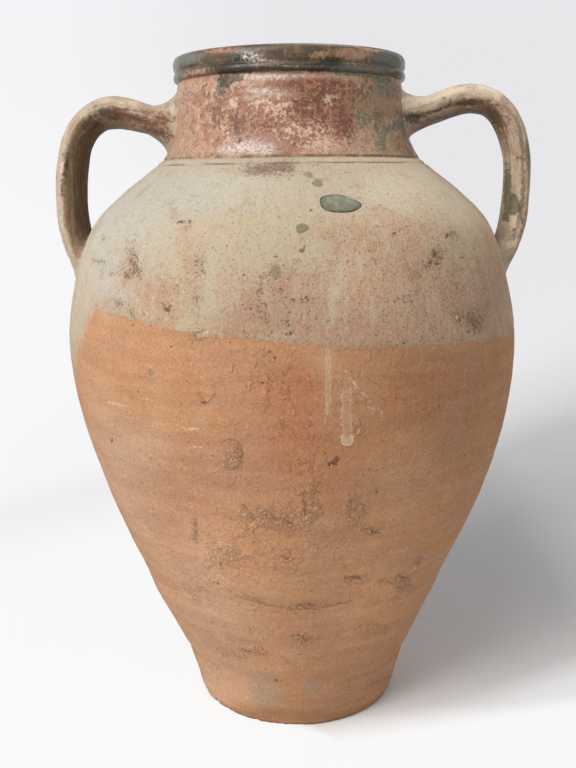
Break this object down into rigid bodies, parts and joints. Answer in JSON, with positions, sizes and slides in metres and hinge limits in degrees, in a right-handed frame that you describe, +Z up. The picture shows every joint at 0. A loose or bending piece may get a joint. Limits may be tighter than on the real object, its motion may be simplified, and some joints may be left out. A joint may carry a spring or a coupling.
{
  "type": "olive jar",
  "caption": "Tall swelling terracotta storage jar on a narrow flat foot, with a short flared neck, a rolled rim and strap handles from neck to shoulder.",
  "frame": {"origin": "centre of the foot's flat underside, under the axis on which the jar was turned", "axes": "+Z up along the turning axis; +X to the higher handle; -Y to the side with the glaze drops"},
  "size_m": [0.4045, 0.3828, 0.56],
  "materials": {
    "bare_clay": "unglazed, worn",
    "slip_coat": "matt slip",
    "strap_slip": "slip with thin glaze stains",
    "neck_glaze": "worn gloss",
    "rim_glaze": "gloss",
    "drop_glaze": "gloss"
  },
  "bodies": {
    "root": {"floor_disc": "bare_clay", "foot_wall": "bare_clay", "lower_wall": "bare_clay", "belly_wall": "bare_clay", "shoulder_wall": "slip_coat", "neck_collar": "neck_glaze", "rim_band": "rim_glaze", "left_handle": "strap_slip", "left_upper_wad": "strap_slip", "left_lower_wad": "slip_coat", "right_handle": "strap_slip", "right_upper_wad": "strap_slip", "right_lower_wad": "slip_coat", "glaze_drop_large": "drop_glaze", "glaze_drop_upper": "drop_glaze", "glaze_drop_lower": "drop_glaze"}
  },
  "joints": []
}
